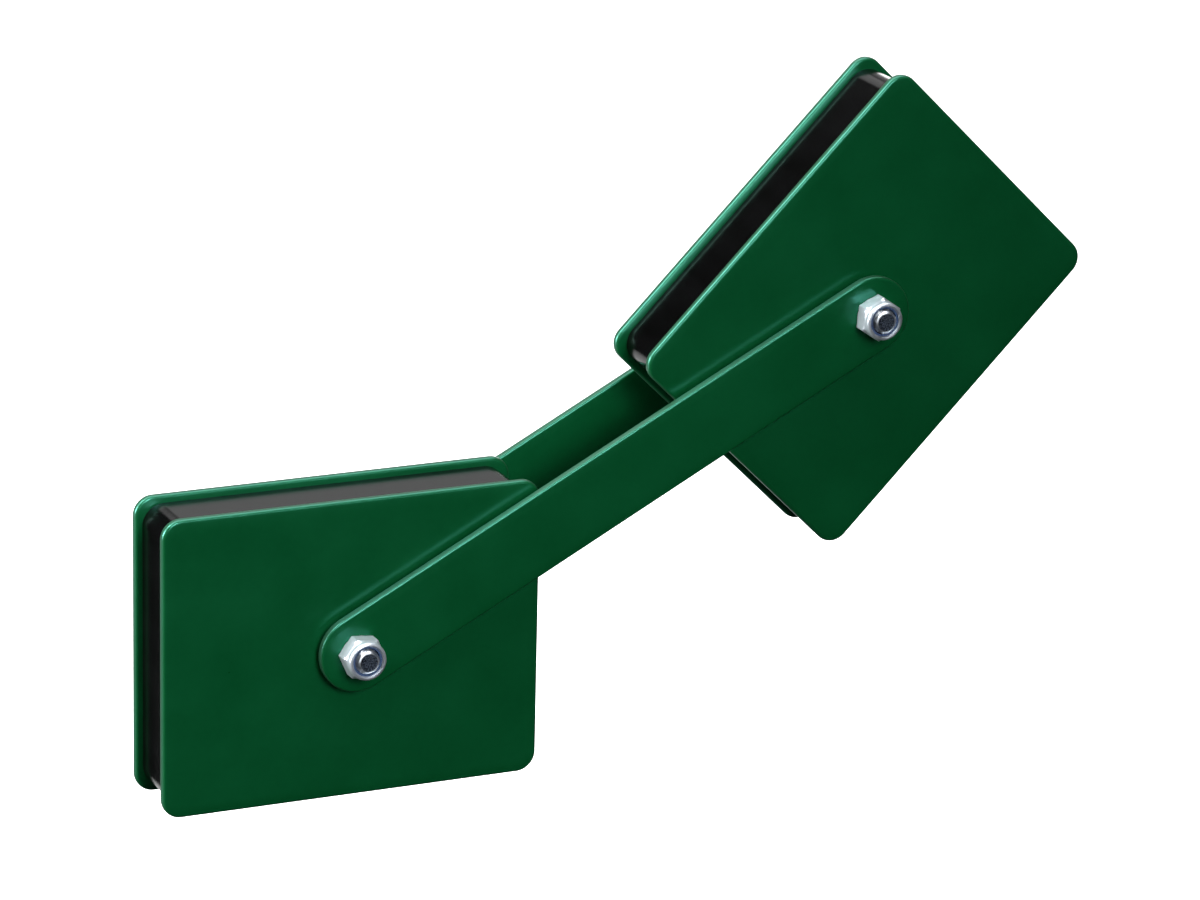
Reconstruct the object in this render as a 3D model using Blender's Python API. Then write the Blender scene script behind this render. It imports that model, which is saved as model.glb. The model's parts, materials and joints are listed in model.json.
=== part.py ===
"""Welding magnet holder: two rectangular magnet blocks joined by a pair of flat link bars.

Each block is two steel pole plates over a moulded core frame that holds two ferrite magnets.
A hexagon bolt with a nylon insert lock nut runs through each block and both bars, and the
block turns on its bolt. Metres, +Z up, lock nuts towards -Y. The origin is the middle of the
lower working edge of block A's front pole plate.
"""

import math

import bmesh
import bpy

MM = 0.001

# Magnet blocks: length along X, height along Z and thickness along Y in a block's own axes.
BLOCK_LENGTH = 80 * MM
BLOCK_HEIGHT = 62 * MM
BLOCK_THICKNESS = 18 * MM
PLATE_THICKNESS = 2 * MM
PLATE_CORNER = 4 * MM
PLATE_EDGE_ROUND = 0.7 * MM
PLATE_HOLE_RADIUS = 2.7 * MM

# Moulded core between the plates, set in from their edges, with a web for the bolt.
CORE_INSET = 1.4 * MM
CORE_CORNER = 4.5 * MM
CORE_EDGE_ROUND = 0.4 * MM
CORE_WALL = 4 * MM
CORE_WEB = 12 * MM
WINDOW_CORNER = 1.5 * MM
MAGNET_CORNER = 1.2 * MM
MAGNET_EDGE_ROUND = 0.4 * MM

# Link bars and how the holder is set: the bars' rise, and block B's turn from level.
LINK_LENGTH = 126 * MM
BAR_WIDTH = 16 * MM
BAR_THICKNESS = 2 * MM
BAR_EDGE_ROUND = 0.5 * MM
LINK_RISE = math.radians(27.8)
BLOCK_B_TURN = math.radians(45.5)

# M5 hardware at each pivot.
BOLT_RADIUS = 2.5 * MM
BOLT_LENGTH = 30 * MM
BOLT_END_RADIUS = 1.95 * MM
ACROSS_FLATS = 8 * MM
HEAD_HEIGHT = 3.5 * MM
NUT_HEIGHT = 5 * MM
NUT_HEXAGON_HEIGHT = 3.5 * MM
NUT_BORE_RADIUS = 2.65 * MM
COLLAR_RADIUS = 3.95 * MM
COLLAR_RECESS_RADIUS = 3.3 * MM
COLLAR_LIP_RADIUS = 3.1 * MM
COLLAR_LIP = 0.4 * MM
INSERT_HEIGHT = 1.4 * MM
WASHER_RADIUS = 5 * MM
WASHER_THICKNESS = 1 * MM
HEXAGON_CHAMFER = 0.4 * MM
NUT_TURNS = {"a": math.radians(26), "b": math.radians(-3)}
HEAD_TURNS = {"a": math.radians(10), "b": math.radians(41)}

GAP = 0.1 * MM
FIT_GAP = 0.3 * MM
ARC_STEPS = 5
TURNED_STEPS = 24
CUTTER_REACH = 60 * MM

# Distances from the middle plane of a block, which is also the middle of the link.
PLATE_FACE = BLOCK_THICKNESS / 2
PLATE_BACK = PLATE_FACE - PLATE_THICKNESS
BAR_BACK = PLATE_FACE + WASHER_THICKNESS + 2 * GAP
BAR_FACE = BAR_BACK + BAR_THICKNESS
SEAT = BAR_FACE + GAP
MIDDLE_PLANE = PLATE_FACE - PLATE_THICKNESS / 2

FRONT, REAR = -1, 1


def finish(name, colour, metallic, roughness):
    material = bpy.data.materials.new(name)
    material.use_nodes = True
    shader = material.node_tree.nodes["Principled BSDF"]
    shader.inputs["Base Color"].default_value = (*colour, 1)
    shader.inputs["Metallic"].default_value = metallic
    shader.inputs["Roughness"].default_value = roughness
    return material


def empty(name, location, turn=0.0, parent=None):
    """A pivot to hang pieces on; turn is anticlockwise seen from the front."""
    pivot = bpy.data.objects.new(name, None)
    pivot.location = location
    pivot.rotation_euler.y = -turn
    pivot.parent = parent
    bpy.context.collection.objects.link(pivot)
    return pivot


def placed(name, mesh, material, parent, location=(0, 0, 0), turn=0.0):
    """An object with this mesh, set in its parent's axes."""
    piece = bpy.data.objects.new(name, mesh)
    piece.location = location
    piece.rotation_euler.y = -turn
    piece.parent = parent
    piece.data.materials.append(material)
    bpy.context.collection.objects.link(piece)
    return piece


def mesh_from(shape, name):
    bmesh.ops.recalc_face_normals(shape, faces=shape.faces)
    mesh = bpy.data.meshes.new(name)
    shape.to_mesh(mesh)
    shape.free()
    return mesh


def arc(x, z, radius, start, end, steps):
    """Points round a centre from one angle to another, both ends included."""
    angles = [start + (end - start) * step / steps for step in range(steps + 1)]
    return [(x + radius * math.cos(angle), z + radius * math.sin(angle)) for angle in angles]


def rounded_rectangle(length, height, radius):
    across, up = length / 2 - radius, height / 2 - radius
    centres = ((across, up), (-across, up), (-across, -up), (across, -up))
    outline = []
    for quarter, (x, z) in enumerate(centres):
        start = quarter * math.pi / 2
        outline += arc(x, z, radius, start, start + math.pi / 2, ARC_STEPS)
    return outline


def round_ended_bar(length, width):
    """Outline of a bar with its pivots at x = 0 and x = length."""
    quarter = math.pi / 2
    left = arc(0, 0, width / 2, quarter, 3 * quarter, 3 * ARC_STEPS)
    right = arc(length, 0, width / 2, -quarter, quarter, 3 * ARC_STEPS)
    return left + right


def slab(name, outline, back, front):
    """A flat sheet with this outline between two distances along Y."""
    shape = bmesh.new()
    face = shape.faces.new([shape.verts.new((x, back, z)) for x, z in outline])
    raised = bmesh.ops.extrude_face_region(shape, geom=[face])["geom"]
    moved = [item for item in raised if isinstance(item, bmesh.types.BMVert)]
    bmesh.ops.translate(shape, verts=moved, vec=(0, front - back, 0))
    return mesh_from(shape, name)


def turned(name, profile, ring=False):
    """A profile of (radius, y) points spun round the Y axis; a ring's profile closes on itself."""
    shape = bmesh.new()
    points = [shape.verts.new((radius, y, 0)) for radius, y in profile]
    edges = [shape.edges.new(pair) for pair in zip(points, points[1:])]
    if ring:
        edges.append(shape.edges.new((points[-1], points[0])))
    bmesh.ops.spin(
        shape, geom=points + edges, cent=(0, 0, 0), axis=(0, 1, 0), dvec=(0, 0, 0),
        angle=2 * math.pi, steps=TURNED_STEPS, use_merge=True, use_duplicate=False,
    )
    bmesh.ops.remove_doubles(shape, verts=shape.verts, dist=0.001 * MM)
    mesh = mesh_from(shape, name)
    mesh.shade_smooth()
    mesh.set_sharp_from_angle(angle=math.radians(30))
    return mesh


def soften_edges(piece, width):
    bevel = piece.modifiers.new("soft edges", "BEVEL")
    bevel.width = width
    bevel.segments = 2
    bevel.limit_method = "ANGLE"
    bevel.angle_limit = math.radians(40)


def combine(piece, other, operation):
    boolean = piece.modifiers.new(other.name, "BOOLEAN")
    boolean.operation = operation
    boolean.solver = "EXACT"
    boolean.object = other


def hide_tool(tool):
    tool.hide_render = True
    tool.display_type = "WIRE"
    return tool


def hexagon(piece, name, turn):
    """Trim a turned blank to six flats, with a corner towards +X before the turn."""
    corner = ACROSS_FLATS / 2 / math.cos(math.pi / 6)
    corners = arc(0, 0, corner, 0, 2 * math.pi, 6)[:-1]
    mesh = slab(name, corners, -CUTTER_REACH, CUTTER_REACH)
    tool = placed(name, mesh, tool_material, piece.parent, piece.location, turn)
    combine(piece, hide_tool(tool), "INTERSECT")


def pole_plate(name, block, side, bolt_hole):
    outline = rounded_rectangle(BLOCK_LENGTH, BLOCK_HEIGHT, PLATE_CORNER)
    plate = placed(name, slab(name, outline, side * PLATE_BACK, side * PLATE_FACE), green, block)
    soften_edges(plate, PLATE_EDGE_ROUND)
    combine(plate, bolt_hole, "DIFFERENCE")


def core_and_magnets(letter, block, bolt_hole):
    """The moulded frame with a window each side of its web, and a magnet in each window."""
    half = PLATE_BACK - GAP
    length = BLOCK_LENGTH - 2 * CORE_INSET
    height = BLOCK_HEIGHT - 2 * CORE_INSET
    window_length = (length - CORE_WEB) / 2 - CORE_WALL
    window_height = height - 2 * CORE_WALL
    name = f"core_frame_{letter}"
    frame_mesh = slab(name, rounded_rectangle(length, height, CORE_CORNER), -half, half)
    frame = placed(name, frame_mesh, black, block)
    soften_edges(frame, CORE_EDGE_ROUND)
    for side, word in ((-1, "left"), (1, "right")):
        place = (side * (CORE_WEB + window_length) / 2, 0, 0)
        opening = rounded_rectangle(window_length, window_height, WINDOW_CORNER)
        tool_name = f"{word}_window_{letter}"
        tool_mesh = slab(tool_name, opening, -CUTTER_REACH, CUTTER_REACH)
        tool = hide_tool(placed(tool_name, tool_mesh, tool_material, block, place))
        combine(frame, tool, "DIFFERENCE")
        magnet_outline = rounded_rectangle(
            window_length - 2 * FIT_GAP, window_height - 2 * FIT_GAP, MAGNET_CORNER
        )
        magnet_name = f"{word}_magnet_{letter}"
        magnet_mesh = slab(magnet_name, magnet_outline, -half, half)
        magnet = placed(magnet_name, magnet_mesh, ferrite, block, place)
        soften_edges(magnet, MAGNET_EDGE_ROUND)
    combine(frame, bolt_hole, "DIFFERENCE")


def pivot_bolt(letter, link, place):
    """Hexagon bolt put in from the rear, its chamfered end just clear of the nut."""
    end = SEAT - BOLT_LENGTH
    top = SEAT + HEAD_HEIGHT
    corner = ACROSS_FLATS / math.sqrt(3)
    profile = [
        (0, end),
        (BOLT_END_RADIUS, end),
        (BOLT_RADIUS, end + BOLT_RADIUS - BOLT_END_RADIUS),
        (BOLT_RADIUS, SEAT),
        (corner, SEAT),
        (corner, top - HEXAGON_CHAMFER),
        (ACROSS_FLATS / 2 - HEXAGON_CHAMFER / 2, top),
        (0, top),
    ]
    name = f"pivot_bolt_{letter}"
    bolt = placed(name, turned(name, profile), zinc, link, place)
    hexagon(bolt, f"head_hexagon_{letter}", HEAD_TURNS[letter])


def lock_nut(letter, link, place):
    """Nut with a round collar whose rolled lip keeps the nylon insert in."""
    corner = ACROSS_FLATS / math.sqrt(3)
    inner = NUT_HEIGHT - COLLAR_LIP - INSERT_HEIGHT - GAP
    heights = [
        (NUT_BORE_RADIUS, 0),
        (ACROSS_FLATS / 2 - HEXAGON_CHAMFER / 2, 0),
        (corner, HEXAGON_CHAMFER),
        (corner, NUT_HEXAGON_HEIGHT - HEXAGON_CHAMFER),
        (COLLAR_RADIUS, NUT_HEXAGON_HEIGHT),
        (COLLAR_RADIUS, NUT_HEIGHT - 2 * COLLAR_LIP),
        ((COLLAR_RADIUS + COLLAR_LIP_RADIUS) / 2, NUT_HEIGHT),
        (COLLAR_LIP_RADIUS, NUT_HEIGHT),
        (COLLAR_LIP_RADIUS, NUT_HEIGHT - COLLAR_LIP),
        (COLLAR_RECESS_RADIUS, NUT_HEIGHT - COLLAR_LIP),
        (COLLAR_RECESS_RADIUS, inner),
        (NUT_BORE_RADIUS, inner),
    ]
    profile = [(radius, -SEAT - height) for radius, height in heights]
    name = f"lock_nut_{letter}"
    nut = placed(name, turned(name, profile, ring=True), zinc, link, place)
    hexagon(nut, f"nut_hexagon_{letter}", NUT_TURNS[letter])


def ring(name, inner, outer, near, far, material, link, place):
    profile = [(inner, near), (outer, near), (outer, far), (inner, far)]
    placed(name, turned(name, profile, ring=True), material, link, place)


def insert_and_washers(letter, link, place):
    top = -SEAT - NUT_HEIGHT + COLLAR_LIP + GAP / 2
    ring(
        f"nylon_insert_{letter}", NUT_BORE_RADIUS, COLLAR_RECESS_RADIUS - GAP,
        top, top + INSERT_HEIGHT, nylon, link, place,
    )
    for side, word in ((FRONT, "front"), (REAR, "rear")):
        near = side * (PLATE_FACE + GAP)
        ring(
            f"{word}_washer_{letter}", NUT_BORE_RADIUS, WASHER_RADIUS,
            near, near + side * WASHER_THICKNESS, zinc, link, place,
        )


def link_bar(name, link, side, bolt_holes):
    outline = round_ended_bar(LINK_LENGTH, BAR_WIDTH)
    bar = placed(name, slab(name, outline, side * BAR_BACK, side * BAR_FACE), green, link)
    soften_edges(bar, BAR_EDGE_ROUND)
    for bolt_hole in bolt_holes:
        combine(bar, bolt_hole, "DIFFERENCE")


for item in list(bpy.data.objects):
    bpy.data.objects.remove(item)

green = finish("green powder coat", (0.0, 0.065, 0.022), 0.0, 0.4)
black = finish("black moulding", (0.012, 0.012, 0.013), 0.0, 0.3)
ferrite = finish("ferrite", (0.045, 0.043, 0.045), 0.2, 0.6)
zinc = finish("zinc plate", (0.72, 0.74, 0.76), 1.0, 0.3)
nylon = finish("nylon", (0.22, 0.3, 0.45), 0.0, 0.45)
tool_material = finish("cutting tool", (0.8, 0.2, 0.1), 0.0, 0.5)

pivot_a = (0, MIDDLE_PLANE, BLOCK_HEIGHT / 2)
pivot_b = (
    LINK_LENGTH * math.cos(LINK_RISE),
    MIDDLE_PLANE,
    BLOCK_HEIGHT / 2 + LINK_LENGTH * math.sin(LINK_RISE),
)
bolt_holes = {}
for letter, pivot, turn in (("a", pivot_a, 0.0), ("b", pivot_b, BLOCK_B_TURN)):
    block = empty(f"block_{letter}", pivot, turn)
    hole_name = f"bolt_hole_{letter}"
    hole_mesh = slab(
        hole_name, arc(0, 0, PLATE_HOLE_RADIUS, 0, 2 * math.pi, TURNED_STEPS)[:-1],
        -CUTTER_REACH, CUTTER_REACH,
    )
    bolt_holes[letter] = hide_tool(placed(hole_name, hole_mesh, tool_material, block))
    pole_plate(f"front_pole_plate_{letter}", block, FRONT, bolt_holes[letter])
    pole_plate(f"rear_pole_plate_{letter}", block, REAR, bolt_holes[letter])
    core_and_magnets(letter, block, bolt_holes[letter])

link = empty("link", pivot_a, LINK_RISE)
link_bar("front_link_bar", link, FRONT, bolt_holes.values())
link_bar("rear_link_bar", link, REAR, bolt_holes.values())
for letter, place in (("a", (0, 0, 0)), ("b", (LINK_LENGTH, 0, 0))):
    pivot_bolt(letter, link, place)
    lock_nut(letter, link, place)
    insert_and_washers(letter, link, place)
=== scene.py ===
import json
import math

import bmesh
import bpy
from mathutils import Matrix, Vector, noise


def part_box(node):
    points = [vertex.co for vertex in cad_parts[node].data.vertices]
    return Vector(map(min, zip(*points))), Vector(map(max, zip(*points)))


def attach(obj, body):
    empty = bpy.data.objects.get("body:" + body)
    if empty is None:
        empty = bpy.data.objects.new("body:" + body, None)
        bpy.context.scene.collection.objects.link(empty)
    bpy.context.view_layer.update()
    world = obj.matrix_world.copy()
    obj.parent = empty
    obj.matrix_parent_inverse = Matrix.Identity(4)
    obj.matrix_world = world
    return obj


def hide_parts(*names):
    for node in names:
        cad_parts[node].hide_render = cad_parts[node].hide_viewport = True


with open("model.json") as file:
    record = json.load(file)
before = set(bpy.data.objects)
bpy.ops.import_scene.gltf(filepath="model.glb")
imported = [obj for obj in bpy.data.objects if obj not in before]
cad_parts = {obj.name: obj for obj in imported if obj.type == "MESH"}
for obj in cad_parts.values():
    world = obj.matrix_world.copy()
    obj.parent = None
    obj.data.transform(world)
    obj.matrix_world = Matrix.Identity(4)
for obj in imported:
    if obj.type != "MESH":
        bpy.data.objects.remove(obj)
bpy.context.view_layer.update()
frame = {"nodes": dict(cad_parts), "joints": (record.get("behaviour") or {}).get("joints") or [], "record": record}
nodes = frame["nodes"]
MM = 0.001

# The set: a pale floor, low enough for a block to swing right round above it, and the camera a
# metre away, a little to the left of the blocks' faces and above them.
VIEW_AIM = Vector((56.75, 8, 63.5)) * MM
VIEW_DISTANCE = 1129.9 * MM
VIEW_YAW = math.radians(24.354)
VIEW_PITCH = math.radians(-17.751)
VIEW_ROLL = math.radians(1.333)
LENS = 167.94
FLOOR_SIZE = 12.0
FLOOR_DROP = 150 * MM
FLOOR_COLOUR = (0.93, 0.93, 0.935)
FLOOR_GLOW = 1.0

view = (
    Matrix.Rotation(-VIEW_YAW, 3, "Z")
    @ Matrix.Rotation(math.pi / 2 + VIEW_PITCH, 3, "X")
    @ Matrix.Rotation(VIEW_ROLL, 3, "Z")
)
camera = bpy.data.objects.new("camera", bpy.data.cameras.new("camera"))
camera.data.lens = LENS
camera.data.sensor_width = 36
camera.data.clip_start = 0.01
camera.matrix_world = Matrix.Translation(VIEW_AIM + view @ Vector((0, 0, VIEW_DISTANCE))) @ view.to_4x4()
bpy.context.scene.collection.objects.link(camera)
bpy.context.scene.camera = camera
bpy.context.scene.view_settings.view_transform = "Standard"


class Signal:
    """One socket of a material's nodes, so that shader maths is written as sums."""

    def __init__(self, socket):
        self.socket = socket

    def node(self, kind, settings, values, output=0):
        """Add a node: its settings first, then the values or signals of its sockets."""
        tree = self.socket.id_data
        made = tree.nodes.new("ShaderNode" + kind)
        for name, value in settings.items():
            setattr(made, name, value)
        for name, value in values.items():
            if isinstance(value, Signal):
                tree.links.new(value.socket, made.inputs[name])
            else:
                made.inputs[name].default_value = value
        return Signal(made.outputs[output])

    def maths(self, operation, first, second):
        """A Math node on values, or a Vector Math node where this socket is a vector."""
        if self.socket.type == "VALUE":
            return self.node("Math", {"operation": operation}, {0: first, 1: second})
        values = {0: first, 1: second}
        for place, value in values.items():
            if isinstance(value, (int, float)):
                values[place] = (value, value, value)
        return self.node("VectorMath", {"operation": operation}, values)

    def __add__(self, other):
        return self.maths("ADD", self, other)

    def __radd__(self, other):
        return self.maths("ADD", other, self)

    def __sub__(self, other):
        return self.maths("SUBTRACT", self, other)

    def __rsub__(self, other):
        return self.maths("SUBTRACT", other, self)

    def __mul__(self, other):
        return self.maths("MULTIPLY", self, other)

    def __rmul__(self, other):
        return self.maths("MULTIPLY", other, self)

    def between(self, low, high):
        """This value as a clamped share of the way from low to high."""
        return self.node(
            "MapRange", {"clamp": True}, {"Value": self, "From Min": low, "From Max": high}
        )

    def mix(self, none, full):
        """A colour that goes from none to full as this value goes from 0 to 1."""
        return self.node("Mix", {"data_type": "RGBA"}, {0: self, 6: none, 7: full}, output=2)

    def into(self, shader, name):
        self.socket.id_data.links.new(self.socket, shader.inputs[name])


def new_material(name, constants):
    """A Principled material with these constants, its shader, and its own-axes coordinates."""
    material = bpy.data.materials.new(name)
    material.use_nodes = True
    shader = material.node_tree.nodes["Principled BSDF"]
    for socket, value in constants.items():
        shader.inputs[socket].default_value = value
    coordinates = material.node_tree.nodes.new("ShaderNodeTexCoord")
    return material, shader, Signal(coordinates.outputs["Object"])


def grain(place, size, detail=2.0, roughness=0.5, stretch=(1, 1, 1), shift=0.0):
    """Noise with features of about this size in metres, from 0 to 1."""
    scale = tuple(part / size for part in stretch)
    moved = place * scale + (shift, shift, shift)
    return place.node(
        "TexNoise", {}, {"Vector": moved, "Scale": 1.0, "Detail": detail, "Roughness": roughness}
    )


def relief(height, depth):
    """A Bump node's normal for a height of 0 to 1 over this depth in metres."""
    return height.node("Bump", {}, {"Strength": 1.0, "Distance": depth, "Height": height})


floor_mesh = bpy.data.meshes.new("floor")
half_floor = FLOOR_SIZE / 2
floor_mesh.from_pydata(
    [(x * half_floor, y * half_floor, -FLOOR_DROP) for x, y in ((-1, -1), (1, -1), (1, 1), (-1, 1))],
    [], [(0, 1, 2, 3)],
)
floor = bpy.data.objects.new("floor", floor_mesh)
floor_finish, _, _ = new_material(
    "pale_floor",
    {"Roughness": 0.9, "Specular IOR Level": 0.0, "Base Color": (*FLOOR_COLOUR, 1),
     "Emission Color": (1, 1, 1, 1), "Emission Strength": FLOOR_GLOW},
)
floor.data.materials.append(floor_finish)
floor.visible_glossy = False
floor.visible_diffuse = False
bpy.context.scene.collection.objects.link(floor)

# Soft studio light: softboxes to the left, the upper left and overhead graze the edges, and a weak
# one in front fills the faces. The others stand behind: two show in the cores' upper sides and
# corners, one lights the bolt heads, and a low card shows in the cores' lower corners.
LIGHTS = {
    # place, aim, size, power in watts, spread in degrees
    "left_softbox": ((-1.1, 0.16, 0.34), (0.05, 0.0, 0.06), (0.45, 0.5), 33.0, 180),
    "upper_left_softbox": ((-0.6, 0.0, 0.86), (0.05, 0.0, 0.06), (0.35, 0.35), 14.0, 180),
    "overhead_softbox": ((0.12, 0.12, 1.1), (0.05, 0.0, 0.06), (1.2, 1.0), 17.0, 180),
    "front_softbox": ((-0.02, -1.05, 0.5), (-0.06, 0.0, 0.06), (0.4, 0.4), 0.7, 40),
    "rear_strip": ((0.13, 1.13, 0.76), (0.07, 0.0, 0.09), (0.5, 0.26), 0.45, 180),
    "rear_right_card": ((0.55, 1.15, 0.48), (0.0, 0.0, 0.06), (0.5, 0.4), 0.36, 180),
    "rear_softbox": ((0.8, 0.85, 0.12), (0.06, 0.0, 0.06), (0.5, 0.5), 0.4, 60),
    "low_card": ((0.05, 0.3, -0.11), (0.0, 0.0, 0.02), (0.3, 0.18), 0.16, 180),
}
WORLD_LIGHT = (0.015, 0.0155, 0.016)
for name, (at, aim, size, power, spread) in LIGHTS.items():
    lamp = bpy.data.objects.new(name, bpy.data.lights.new(name, "AREA"))
    lamp.data.shape = "RECTANGLE"
    lamp.data.size, lamp.data.size_y = size
    lamp.data.energy = power
    lamp.data.spread = math.radians(spread)
    lamp.location = at
    lamp.rotation_euler = (Vector(aim) - lamp.location).to_track_quat("-Z", "Y").to_euler()
    lamp.visible_camera = False
    bpy.context.scene.collection.objects.link(lamp)

world = bpy.data.worlds.new("studio")
world.use_nodes = True
bpy.context.scene.world = world
surroundings = world.node_tree.nodes["Background"]
path = world.node_tree.nodes.new("ShaderNodeLightPath")
backdrop = Signal(path.outputs["Is Camera Ray"])
backdrop.mix((*WORLD_LIGHT, 1), (1, 1, 1, 1)).into(surroundings, "Color")

# Pole plates: four punched 2 mm steel rectangles with rounded corners, their edges softened by
# tumbling, in green powder coat. A bolt through the middle holds each pair over its core.
PLATE_EDGE = 0.7 * MM
PLATE_CORNER = 4 * MM
LEAST_CORNER = 0.2 * MM
PLATE_HOLE = 2.7 * MM
CORNER_STEPS = 10
EDGE_STEPS = 5
DRAW_WIDTH = 2 * MM
DRAW_IN = 0.07 * MM
DRAW_STEPS = 5
MINT_SHEEN = (0.25, 1.0, 0.82, 1)
GREEN_DEEP = (0.0004, 0.058, 0.0130)
GREEN_LIGHT = (0.0006, 0.070, 0.0160)
# Paler film on the sides and roundings; its red and blue lift is a painted highlight, the mint of lit edges.
EDGE_GREEN_AND_HIGHLIGHT = (0.013, 0.048, 0.025)
CLOUD_SIZE = 14 * MM
RIPPLE_SIZE = 3.5 * MM
PEEL_SIZE = 0.9 * MM
PIP_SIZE = 0.45 * MM
COAT_RELIEF = 0.003 * MM
COAT_ROUGHNESS = 0.26
PLATE_SEED = 3.1

mounts = {mount["name"]: mount for mount in frame["record"]["mounts"]}
pivots = {joint["name"][-1]: Vector(joint["pos_m"]) for joint in frame["joints"]}


def edge_to_edge(one, other):
    return (Vector(mounts[one]["pos_m"]) - Vector(mounts[other]["pos_m"])).length


BLOCK_LENGTH = edge_to_edge("a_left_edge", "a_right_edge")
BLOCK_HEIGHT = edge_to_edge("a_lower_edge", "a_upper_edge")
MIDDLE_Y = pivots["a"].y


def axes_at(pivot, along):
    """Where a body's own axes are: X along the given direction, Y to the rear, Z across."""
    turn = math.atan2(along[2], along[0])
    return Matrix.Translation(pivot) @ Matrix.Rotation(-turn, 4, "Y")


block_axes = {
    letter: axes_at(pivots[letter], mounts[f"{letter}_right_edge"]["axis"]) for letter in "ab"
}


def depth_span(node):
    """How far a node reaches from the middle plane, front face first."""
    low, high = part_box(node)
    return low.y - MIDDLE_Y, high.y - MIDDLE_Y


def arc(x, z, radius, start, end, steps):
    angles = [start + (end - start) * step / steps for step in range(steps + 1)]
    return [(x + radius * math.cos(angle), z + radius * math.sin(angle)) for angle in angles]


def rounded_rectangle(length, height, corner):
    across, up = length / 2 - corner, height / 2 - corner
    outline = []
    for quarter, (x, z) in enumerate(((across, up), (-across, up), (-across, -up), (across, -up))):
        start = quarter * math.pi / 2
        outline += arc(x, z, corner, start, start + math.pi / 2, CORNER_STEPS)
    return outline


def rolled_edge(front, rear, radius, draw_in=0.0):
    """(inset, y) pairs from inside the front face, round both edges, to inside the rear face.
    The punch draws the last DRAW_WIDTH of each face in by draw_in."""
    half = []
    for step in range(DRAW_STEPS):
        share = step / DRAW_STEPS
        half.append((radius + DRAW_WIDTH * (1 - share), draw_in * share**2))
    for step in range(EDGE_STEPS + 1):
        angle = step / EDGE_STEPS * math.pi / 2
        deep = draw_in + (radius - draw_in) * (1 - math.cos(angle))
        half.append((radius * (1 - math.sin(angle)), deep))
    front_half = [(inset, front + deep) for inset, deep in half]
    rear_half = [(inset, rear - deep) for inset, deep in reversed(half)]
    return front_half + rear_half


def loop_of(shape, outline, y):
    return [shape.verts.new((x, y, z)) for x, z in outline]


def skin(shape, one, other):
    """Join two loops of equally many points with a band of faces."""
    for step in range(len(one)):
        after = (step + 1) % len(one)
        shape.faces.new((one[step], one[after], other[after], other[step]))


def close_face(shape, loops):
    """Fill the flat between an outer loop and the holes inside it."""
    edges = [shape.edges.get((a, b)) for loop in loops for a, b in zip(loop, loop[1:] + loop[:1])]
    bmesh.ops.triangle_fill(shape, edges=edges, use_beauty=True)


def sheet_metal(outline_at, front, rear, edge, holes):
    """A flat plate whose outline_at(inset) gives its edge, with round holes (x, z, radius)."""
    shape = bmesh.new()
    edge_path = rolled_edge(front, rear, edge, DRAW_IN)
    rings = [loop_of(shape, outline_at(inset), y) for inset, y in edge_path]
    for one, other in zip(rings, rings[1:]):
        skin(shape, one, other)
    faces = {rings[0][0].co.y: [rings[0]], rings[-1][0].co.y: [rings[-1]]}
    lead = edge / 2
    for x, z, radius in holes:
        circle = [
            loop_of(shape, arc(x, z, wide, 0, 2 * math.pi, 4 * CORNER_STEPS)[:-1], y)
            for wide, y in ((radius + lead, front), (radius, front + lead),
                            (radius, rear - lead), (radius + lead, rear))
        ]
        for one, other in zip(circle, circle[1:]):
            skin(shape, other, one)
        faces[rings[0][0].co.y].append(circle[0])
        faces[rings[-1][0].co.y].append(circle[-1])
    for loops in faces.values():
        close_face(shape, loops)
    return shape


def finished(name, shape, axes, finish, body, replaced, sharp=35):
    """Turn a shape into a shaded piece in its body's axes, riding there in place of a CAD node.
    Edges over sharp degrees stay crisp."""
    bmesh.ops.recalc_face_normals(shape, faces=shape.faces)
    mesh = bpy.data.meshes.new(name)
    shape.to_mesh(mesh)
    shape.free()
    mesh.transform(axes.to_3x3().to_4x4())
    mesh.shade_smooth()
    mesh.set_sharp_from_angle(angle=math.radians(sharp))
    piece = bpy.data.objects.new(name, mesh)
    piece.location = axes.translation
    flats = piece.modifiers.new("flats_stay_flat", "WEIGHTED_NORMAL")
    flats.keep_sharp = True
    mesh.materials.append(finish)
    bpy.context.scene.collection.objects.link(piece)
    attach(piece, body)
    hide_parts(replaced)


def powder_coat(name, seed):
    """Satin green powder coat: orange peel, faint clouds of film thickness, a few fine pips. The
    film is paler and a little rougher where it wraps round an edge, off the flat faces, and that edge colour also
    carries a painted highlight: a mint tint that stands in for light along the edges."""
    material, shader, place = new_material(
        name, {"Specular IOR Level": 0.95, "Specular Tint": MINT_SHEEN}
    )
    clouds = grain(place, CLOUD_SIZE, detail=3, shift=seed).between(0.3, 0.7)
    ripple = grain(place, RIPPLE_SIZE, detail=1, shift=seed)
    peel = grain(place, PEEL_SIZE, detail=2, shift=seed)
    pips = grain(place, PIP_SIZE, detail=1, shift=seed).between(0.74, 0.8)
    facing = place.node("NewGeometry", {}, {}, output=1)
    frontward = facing.node("SeparateXYZ", {}, {0: facing}, output=1)
    edge = 1 - (frontward * frontward).between(0.0, 0.97)
    film = clouds * 0.7 + peel.between(0.35, 0.65) * 0.3
    coat = film.mix((*GREEN_DEEP, 1), (*GREEN_LIGHT, 1))
    # Painted highlight: the sides and roundings take the edge colour, which is paler film with a mint tint
    # standing in for light along the edges.
    edge.mix(coat, (*EDGE_GREEN_AND_HIGHLIGHT, 1)).into(shader, "Base Color")
    (clouds * 0.05 + peel * 0.05 + edge * 0.04 + COAT_ROUGHNESS).into(shader, "Roughness")
    relief(peel * 0.55 + ripple * 0.6 + pips * 0.5, COAT_RELIEF).into(shader, "Normal")
    return material


def plate_outline(inset):
    return rounded_rectangle(
        BLOCK_LENGTH - 2 * inset, BLOCK_HEIGHT - 2 * inset, max(PLATE_CORNER - inset, LEAST_CORNER)
    )


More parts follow.
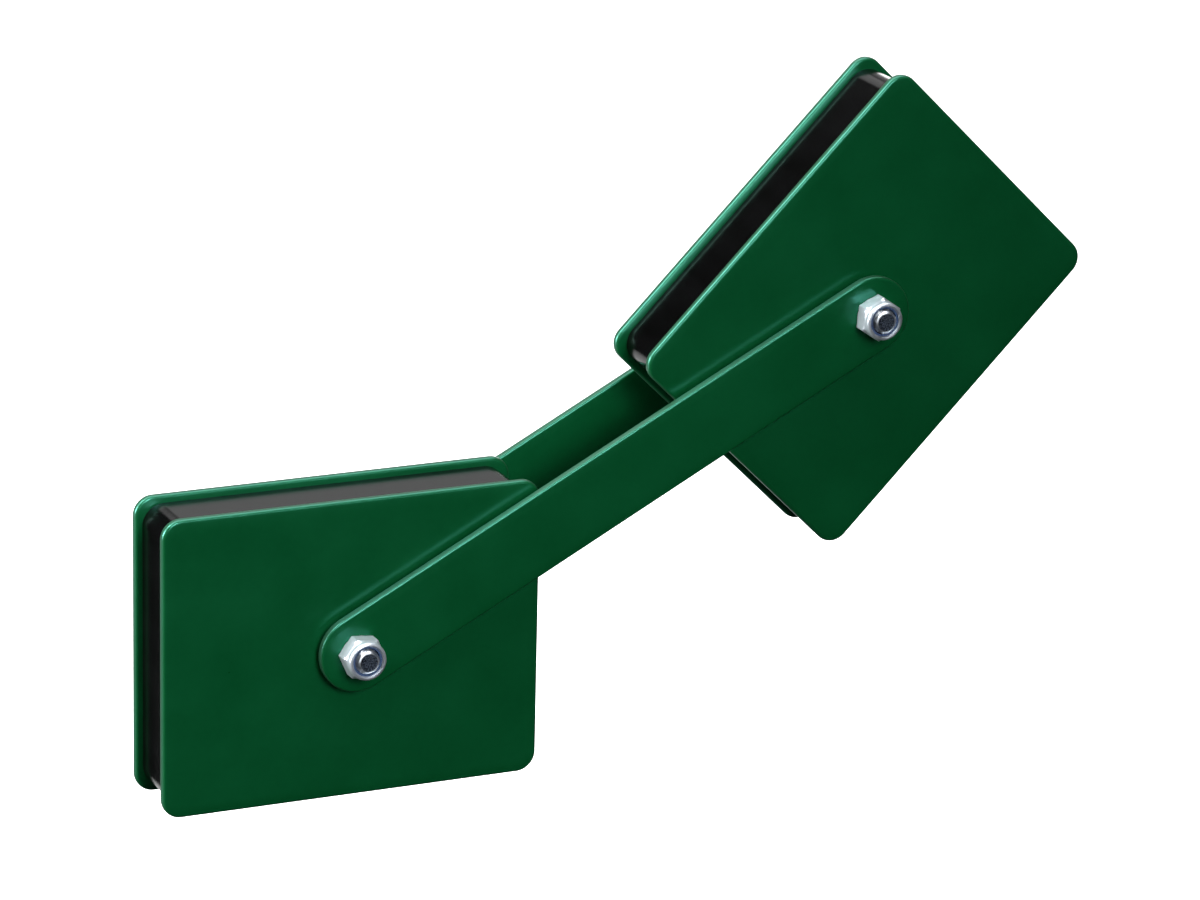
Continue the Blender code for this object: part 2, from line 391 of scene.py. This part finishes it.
for letter in "ab":
    for side in ("front", "rear"):
        node = f"{side}_pole_plate_{letter}"
        plate = sheet_metal(plate_outline, *depth_span(node), PLATE_EDGE, [(0, 0, PLATE_HOLE)])
        coat = powder_coat(f"green_{node}", seed=PLATE_SEED * len(bpy.data.materials))
        finished(
            f"{node}_coated", plate, block_axes[letter], coat, f"block_{letter}",
            node,
        )

# Core frames: one black moulding between each pair of plates, set in from their edges, with a
# window each side of the web that the bolt goes through. Satin plastic with a fine mould grain.
CORE_CORNER = 4.5 * MM
CORE_EDGE = 0.4 * MM
CORE_WALL = 4 * MM
CORE_WEB = 12 * MM
WINDOW_CORNER = 1.5 * MM
BLACK_DEEP = (0.0003, 0.0003, 0.0003)
BLACK_LIGHT = (0.0009, 0.0009, 0.0010)
PORE_SIZE = 0.35 * MM
FLOW_SIZE = 5 * MM
RUB_SIZE = 1.6 * MM
MOULD_RELIEF = 0.01 * MM
MOULD_ROUGHNESS = 0.16


def black_moulding():
    """Black moulded plastic, satin, with flow streaks and a few rubbed marks."""
    material, shader, place = new_material("black_moulding", {"Specular IOR Level": 0.33})
    pores = grain(place, PORE_SIZE, detail=2)
    flow = grain(place, FLOW_SIZE, detail=3, stretch=(1, 0.25, 1))
    rubs = grain(place, RUB_SIZE, detail=4, roughness=0.7, stretch=(0.25, 1, 0.25)).between(0.6, 0.75)
    flow.between(0.3, 0.7).mix((*BLACK_DEEP, 1), (*BLACK_LIGHT, 1)).into(shader, "Base Color")
    (flow * 0.06 + rubs * 0.03 + MOULD_ROUGHNESS).into(shader, "Roughness")
    relief(pores * 0.4 + flow * 0.6, MOULD_RELIEF).into(shader, "Normal")
    return material


moulding = black_moulding()
core_low, core_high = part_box("core_frame_a")
core_length, _, core_height = core_high - core_low
window_length = (core_length - CORE_WEB) / 2 - CORE_WALL
window_height = core_height - 2 * CORE_WALL


def moulded_frame(front, rear):
    """The core's rounded block with its two windows and the bolt's hole right through it."""
    shape = bmesh.new()
    rings = [
        loop_of(shape, rounded_rectangle(
            core_length - 2 * inset, core_height - 2 * inset, CORE_CORNER - inset), y)
        for inset, y in rolled_edge(front, rear, CORE_EDGE)
    ]
    for one, other in zip(rings, rings[1:]):
        skin(shape, one, other)
    front_loops, rear_loops = [rings[0]], [rings[-1]]
    openings = [
        [(x + side * (CORE_WEB + window_length) / 2, z)
         for x, z in rounded_rectangle(window_length, window_height, WINDOW_CORNER)]
        for side in (-1, 1)
    ]
    openings.append(arc(0, 0, PLATE_HOLE, 0, 2 * math.pi, 4 * CORNER_STEPS)[:-1])
    for opening in openings:
        near, far = loop_of(shape, opening, front), loop_of(shape, opening, rear)
        skin(shape, far, near)
        front_loops.append(near)
        rear_loops.append(far)
    close_face(shape, front_loops)
    close_face(shape, rear_loops)
    return shape


for letter in "ab":
    node = f"core_frame_{letter}"
    finished(
        f"{node}_moulded", moulded_frame(*depth_span(node)), block_axes[letter], moulding,
        f"block_{letter}", node,
    )

# Magnets: sintered ferrite slabs in the windows, ground flat on the two faces that meet the
# plates. They keep the frame's solids and only get their grey, dusty ceramic finish.
GREY_DEEP = (0.018, 0.017, 0.018)
GREY_LIGHT = (0.04, 0.038, 0.04)
SPECKLE_SIZE = 0.4 * MM
SCRATCH_SIZE = 0.5 * MM
SLAB_RELIEF = 0.02 * MM
SLAB_ROUGHNESS = 0.5


def ferrite():
    """Matt grey ceramic: grains of the sintered powder under the fine lines of the grinding."""
    material, shader, place = new_material("sintered_ferrite", {"Specular IOR Level": 0.4})
    speckle = grain(place, SPECKLE_SIZE, detail=3)
    scratches = grain(place, SCRATCH_SIZE, detail=2, stretch=(0.08, 1, 1))
    shade = speckle.between(0.35, 0.65)
    shade.mix((*GREY_DEEP, 1), (*GREY_LIGHT, 1)).into(shader, "Base Color")
    (speckle * 0.2 + SLAB_ROUGHNESS).into(shader, "Roughness")
    relief(speckle * 0.5 + scratches * 0.5, SLAB_RELIEF).into(shader, "Normal")
    return material


slab_finish = ferrite()
for name, node in nodes.items():
    if "magnet" in name:
        node.data.materials.clear()
        node.data.materials.append(slab_finish)

# Link bars: two flat 2 mm steel bars with round ends, one outside each face of the blocks, in
# the same green powder coat. The bolts through their ends clamp them over the washers.
link_axes = axes_at(pivots["a"], pivots["b"] - pivots["a"])
LINK_LENGTH = (pivots["b"] - pivots["a"]).length
BAR_WIDTH = 16 * MM
BAR_EDGE = 0.5 * MM
BAR_HOLE = 2.7 * MM
BAR_SEED = 5.7


def bar_outline(inset):
    """The bar's outline set in by this much: two half circles joined by straight sides."""
    radius = BAR_WIDTH / 2 - inset
    quarter = math.pi / 2
    left = arc(0, 0, radius, quarter, 3 * quarter, 4 * CORNER_STEPS)
    right = arc(LINK_LENGTH, 0, radius, -quarter, quarter, 4 * CORNER_STEPS)
    return left + right


for side in ("front", "rear"):
    node = f"{side}_link_bar"
    holes = [(0, 0, BAR_HOLE), (LINK_LENGTH, 0, BAR_HOLE)]
    bar = sheet_metal(bar_outline, *depth_span(node), BAR_EDGE, holes)
    coat = powder_coat(f"green_{node}", seed=BAR_SEED * len(bpy.data.materials))
    finished(f"{node}_coated", bar, link_axes, coat, "link", node)

# Zinc plate on the nuts and washers: bright, faintly blue, with the fine drawn and tumbled marks
# of cheap hardware. The bolts, nuts and washers turn with the link.
TURN_STEPS = 72
ZINC_BRIGHT = (0.70, 0.76, 0.84)
ZINC_DULL = tuple(part * 0.85 for part in ZINC_BRIGHT)
BLOOM_SIZE = 1.8 * MM
MARK_SIZE = 0.25 * MM
ZINC_RELIEF = 0.006 * MM
ZINC_ROUGHNESS = 0.29
hardware_axes = {"a": link_axes, "b": link_axes @ Matrix.Translation((LINK_LENGTH, 0, 0))}


def zinc_plate():
    """Milky bright zinc: mostly metal, a little white passivation, fine tumbling marks."""
    material, shader, place = new_material("zinc_plate", {"Metallic": 0.8})
    bloom = grain(place, BLOOM_SIZE, detail=3)
    marks = grain(place, MARK_SIZE, detail=3, roughness=0.6, stretch=(1, 0.35, 1))
    bloom.between(0.3, 0.7).mix((*ZINC_DULL, 1), (*ZINC_BRIGHT, 1)).into(shader, "Base Color")
    (bloom * 0.08 + marks * 0.1 + ZINC_ROUGHNESS).into(shader, "Roughness")
    relief(marks * 0.5 + bloom * 0.8, ZINC_RELIEF).into(shader, "Normal")
    return material


zinc = zinc_plate()


def spun(profile):
    """A closed profile of (radius, y) points turned round the Y axis."""
    shape = bmesh.new()
    circle = arc(0, 0, 1, 0, 2 * math.pi, TURN_STEPS)[:-1]
    rings = [loop_of(shape, [(x * radius, z * radius) for x, z in circle], y) for radius, y in profile]
    for one, other in zip(rings, rings[1:] + rings[:1]):
        skin(shape, one, other)
    return shape


# Pivot washers: plain stamped rings between each bar and the plate that it turns against. They
# are zinc plated, and their rims are broken where the press left a burr.
WASHER_BORE = 2.65 * MM
WASHER_RADIUS = 5 * MM
WASHER_BREAK = 0.12 * MM
for letter in "ab":
    for side in ("front", "rear"):
        node = f"{side}_washer_{letter}"
        front, rear = depth_span(node)
        profile = [
            (WASHER_BORE, front + WASHER_BREAK), (WASHER_BORE + WASHER_BREAK, front),
            (WASHER_RADIUS - WASHER_BREAK, front), (WASHER_RADIUS, front + WASHER_BREAK),
            (WASHER_RADIUS, rear - WASHER_BREAK), (WASHER_RADIUS - WASHER_BREAK, rear),
            (WASHER_BORE + WASHER_BREAK, rear), (WASHER_BORE, rear - WASHER_BREAK),
        ]
        finished(
            f"{node}_plated", spun(profile), hardware_axes[letter], zinc, "link", node,
        )

# Pivot bolts: M5 hexagon bolts put in from the rear, with rolled threads at the nut's end. The
# end is chamfered, stands just clear of the nut, and keeps the dark rough face it was sheared to.
BOLT_RADIUS = 2.5 * MM
BOLT_END_RADIUS = 1.95 * MM
BOLT_END_CHAMFER = 0.6 * MM
THREAD_PITCH = 0.8 * MM
THREAD_LENGTH = 12 * MM
THREAD_DEPTH = 0.45 * MM
THREAD_STEP = THREAD_PITCH / 6
THREAD_CREST = 0.15
THREAD_FLANKS = 0.7
HEAD_HEIGHT = 3.5 * MM
ACROSS_FLATS = 8 * MM
HEX_CORNER_ROUND = 0.22 * MM
HEX_CHAMFER = 0.42 * MM
HEX_CORNER_STEPS = 6
HEX_FLAT_STEPS = 6
HEAD_TURNS = {"a": math.radians(10), "b": math.radians(41)}
HEX_REACH = ACROSS_FLATS / 2 + 1 * MM
FACE_BREAK = 0.05 * MM
SEAT_BREAK = 0.15 * MM
SEAT_RISE = 0.12 * MM
HEAD_DISH = 0.2 * MM
HEAD_RISE = 0.5 * MM
THREAD_SHARP = 40
END_RINGS = 6
TEAR_HEIGHT = 0.06 * MM
TEAR_SIZE = 0.5 * MM
TEAR_REACH = 0.97 * BOLT_END_RADIUS
TEAR_FADE = 0.12 * MM
TEAR_DEPTH = 0.25 * MM
TEAR_DARK = (0.004, 0.006, 0.010)
TEAR_BRIGHT = (0.16, 0.20, 0.27)
BOLT_BRIGHT = (0.70, 0.75, 0.82)
CHIP_SIZE = 0.32 * MM
HAZE_SIZE = 0.6 * MM
BOLT_RELIEF = 0.06 * MM
BOLT_ROUGHNESS = 0.24


def hexagon(turn):
    """A hexagon's outline with slightly rounded corners."""
    reach = (ACROSS_FLATS / 2 - HEX_CORNER_ROUND) / math.cos(math.pi / 6)
    outline = []
    for corner in range(6):
        middle = corner * math.pi / 3 + turn
        x, z = reach * math.cos(middle), reach * math.sin(middle)
        ends = (middle - math.pi / 6, middle + math.pi / 6)
        outline.append(arc(x, z, HEX_CORNER_ROUND, *ends, HEX_CORNER_STEPS))
    points = []
    for flat, after in zip(outline, outline[1:] + outline[:1]):
        points += flat
        (x, z), (next_x, next_z) = flat[-1], after[0]
        for step in range(1, HEX_FLAT_STEPS):
            share = step / HEX_FLAT_STEPS
            points.append((x + (next_x - x) * share, z + (next_z - z) * share))
    return points


def trimmed(outline, limit):
    """The outline cut back to a circle of this radius wherever it reaches further."""
    cuts = [min(1.0, limit / math.hypot(x, z)) for x, z in outline]
    return [(x * cut, z * cut) for (x, z), cut in zip(outline, cuts)]


def lathed(flats, profile, closed):
    """Rings of the hexagon trimmed to each (radius, y) of a profile, joined into a skin."""
    shape = bmesh.new()
    rings = [loop_of(shape, trimmed(flats, radius), y) for radius, y in profile]
    for one, other in zip(rings, rings[1:]):
        skin(shape, one, other)
    if closed:
        skin(shape, rings[-1], rings[0])
    return shape, rings


def thread_cut(angle, along):
    """How deep the thread is cut at this angle, this many metres along from the bolt's end."""
    turn = (along / THREAD_PITCH + angle / (2 * math.pi)) % 1.0
    rise = min(1.0, max(0.0, (abs(turn - 0.5) * 2 - THREAD_CREST) / THREAD_FLANKS))
    run_out = min(1.0, max(0.0, (THREAD_LENGTH - along) / THREAD_PITCH))
    return THREAD_DEPTH * rise * run_out


def threaded_bolt(end, seat, turn):
    """End face, chamfer and thread, plain shank, then the hexagon head at the rear."""
    top = seat + HEAD_HEIGHT
    wide = ACROSS_FLATS / 2
    profile = [(BOLT_END_RADIUS * ring / END_RINGS, end) for ring in range(1, END_RINGS + 1)]
    for step in range(1, round(THREAD_LENGTH / THREAD_STEP) + 1):
        along = THREAD_STEP * step
        slope = (BOLT_RADIUS - BOLT_END_RADIUS) * along / BOLT_END_CHAMFER
        profile.append((min(BOLT_RADIUS, BOLT_END_RADIUS + slope), end + along))
    threaded = len(profile)
    profile += [
        (BOLT_RADIUS, seat), (wide - SEAT_BREAK, seat), (wide, seat + SEAT_RISE),
        (HEX_REACH, seat + HEAD_RISE), (HEX_REACH, top - HEX_CHAMFER),
        (wide - FACE_BREAK, top - FACE_BREAK), (wide - HEAD_DISH, top), (wide / 2, top),
    ]
    shape, rings = lathed(hexagon(turn), profile, closed=False)
    for ring in rings[END_RINGS:threaded]:
        for point in ring:
            radius = math.hypot(point.co.x, point.co.z)
            deep = BOLT_RADIUS - thread_cut(math.atan2(point.co.z, point.co.x), point.co.y - end)
            if radius > deep:
                point.co.x *= deep / radius
                point.co.z *= deep / radius
    for ring in rings[:END_RINGS - 1]:
        for point in ring:
            point.co.y += TEAR_HEIGHT * (noise.noise(point.co / TEAR_SIZE) + 1)
    middle = shape.verts.new((0, end + TEAR_HEIGHT / 2, 0))
    for one, other in zip(rings[0], rings[0][1:] + rings[0][:1]):
        shape.faces.new((middle, one, other))
    shape.faces.new(rings[-1])
    return shape


def plated_bolt(end):
    """Zinc plate, with a dark torn face at the sheared end."""
    material, shader, place = new_material("zinc_bolt", {"Metallic": 1.0})
    depth = place.node("SeparateXYZ", {}, {0: place}, output=1)
    flat = place * (1, 0, 1)
    radius = flat.node("VectorMath", {"operation": "LENGTH"}, {0: flat}, output=1)
    near_end = (end + TEAR_DEPTH - depth).between(0, FACE_BREAK)
    torn = (TEAR_REACH - radius).between(0, TEAR_FADE) * near_end
    chips = grain(place, CHIP_SIZE, detail=4, roughness=0.7).between(0.42, 0.62)
    haze = grain(place, HAZE_SIZE, detail=3)
    dark = chips.mix((*TEAR_DARK, 1), (*TEAR_BRIGHT, 1))
    torn.mix((*BOLT_BRIGHT, 1), dark).into(shader, "Base Color")
    (haze * 0.15 + torn * 0.3 + BOLT_ROUGHNESS).into(shader, "Roughness")
    relief(chips * torn + haze * 0.2, BOLT_RELIEF).into(shader, "Normal")
    return material


bolt_finish = plated_bolt(depth_span("pivot_bolt_a")[0])
for letter in "ab":
    node = f"pivot_bolt_{letter}"
    front, rear = depth_span(node)
    bolt = threaded_bolt(front, rear - HEAD_HEIGHT, HEAD_TURNS[letter])
    finished(
        f"{node}_threaded", bolt, hardware_axes[letter], bolt_finish, "link", node,
        THREAD_SHARP,
    )

# Lock nuts: M5 nuts with a hexagon base and a round collar whose rim is rolled in over a nylon
# ring. Zinc plated, screwed up until the bolt's end just shows through the ring.
NUT_TURNS = {"a": math.radians(26), "b": math.radians(-3)}
HEXAGON_HEIGHT = 3.5 * MM
NUT_BORE = 2.65 * MM
COLLAR_RADIUS = 3.95 * MM
COLLAR_RECESS = 3.32 * MM
LIP_RADIUS = 3.1 * MM
LIP = 0.4 * MM
LIP_STEPS = 8
HAIR = 0.02 * MM
RIM_SHARE = 0.62
CURL_SHARE = 0.2
SEAT_BEVEL = 0.25 * MM
NECK_REACH = 0.06 * MM
NECK_STEP = 0.04 * MM
NECK_DEPTH = 0.14 * MM
RECESS_EASE = 0.1 * MM
BORE_LEAD = 0.3 * MM
NUT_SHARP = 32
insert_front, insert_rear = depth_span("nylon_insert_a")


def lock_nut_profile(top, seat):
    """(radius, y) from the seat up the outside, over the rolled rim and down the bore."""
    wide = ACROSS_FLATS / 2
    shoulder = seat - HEXAGON_HEIGHT
    roll = COLLAR_RADIUS - LIP_RADIUS
    rim = RIM_SHARE * roll
    floor_y = insert_rear + HAIR
    profile = [
        (NUT_BORE + BORE_LEAD, seat), (wide - SEAT_BEVEL, seat), (wide - FACE_BREAK, seat - FACE_BREAK),
        (HEX_REACH, seat - HEX_CHAMFER), (HEX_REACH, shoulder + HEX_CHAMFER),
        (wide + HAIR, shoulder), (COLLAR_RADIUS + NECK_REACH, shoulder - NECK_STEP),
        (COLLAR_RADIUS, shoulder - NECK_DEPTH),
    ]
    for step in range(LIP_STEPS + 1):
        angle = step / LIP_STEPS * math.pi / 2
        profile.append((COLLAR_RADIUS - rim * (1 - math.cos(angle)), top + rim * (1 - math.sin(angle))))
    for step in range(1, LIP_STEPS + 1):
        angle = step / LIP_STEPS * math.pi
        curl = CURL_SHARE * roll * (1 + math.cos(angle))
        profile.append((LIP_RADIUS + curl - HAIR, top + LIP / 2 * (1 - math.cos(angle))))
    profile += [
        (LIP_RADIUS + RECESS_EASE, insert_front), (COLLAR_RECESS, insert_front),
        (COLLAR_RECESS, floor_y), (NUT_BORE + FACE_BREAK, floor_y),
        (NUT_BORE, insert_rear + RECESS_EASE), (NUT_BORE, seat - BORE_LEAD),
    ]
    return profile


for letter in "ab":
    node = f"lock_nut_{letter}"
    nut, _ = lathed(hexagon(NUT_TURNS[letter]), lock_nut_profile(*depth_span(node)), closed=True)
    finished(
        f"{node}_plated", nut, hardware_axes[letter], zinc, "link", node, NUT_SHARP,
    )

# Nylon rings: blue-grey nylon held under the rolled rim of each nut's collar, pressed in by the
# maker, then cut and smeared by the thread that it grips.
INSERT_BORE = 2.62 * MM
INSERT_EDGE = 0.12 * MM
INSERT_FIT = 0.06 * MM
BLUE_DEEP = (0.030, 0.055, 0.13)
BLUE_LIGHT = (0.07, 0.12, 0.24)
WEAR_SIZE = 0.35 * MM
NYLON_RELIEF = 0.03 * MM
NYLON_ROUGHNESS = 0.3


def nylon():
    """Blue-grey nylon, waxy, scuffed lighter where the thread has worked on it."""
    material, shader, place = new_material("blue_nylon", {"Specular IOR Level": 0.5})
    wear = grain(place, WEAR_SIZE, detail=3)
    wear.between(0.3, 0.7).mix((*BLUE_DEEP, 1), (*BLUE_LIGHT, 1)).into(shader, "Base Color")
    (wear * 0.2 + NYLON_ROUGHNESS).into(shader, "Roughness")
    relief(wear, NYLON_RELIEF).into(shader, "Normal")
    return material


nylon_finish = nylon()
for letter in "ab":
    node = f"nylon_insert_{letter}"
    front, rear = depth_span(node)
    outer = COLLAR_RECESS - INSERT_FIT
    profile = [
        (INSERT_BORE, front + 2 * INSERT_EDGE), (INSERT_BORE + INSERT_EDGE, front + 0.3 * INSERT_EDGE),
        (INSERT_BORE + 2.5 * INSERT_EDGE, front), (outer, front), (outer, rear), (INSERT_BORE, rear),
    ]
    finished(
        f"{node}_seated", spun(profile), hardware_axes[letter], nylon_finish, "link", node,
    )
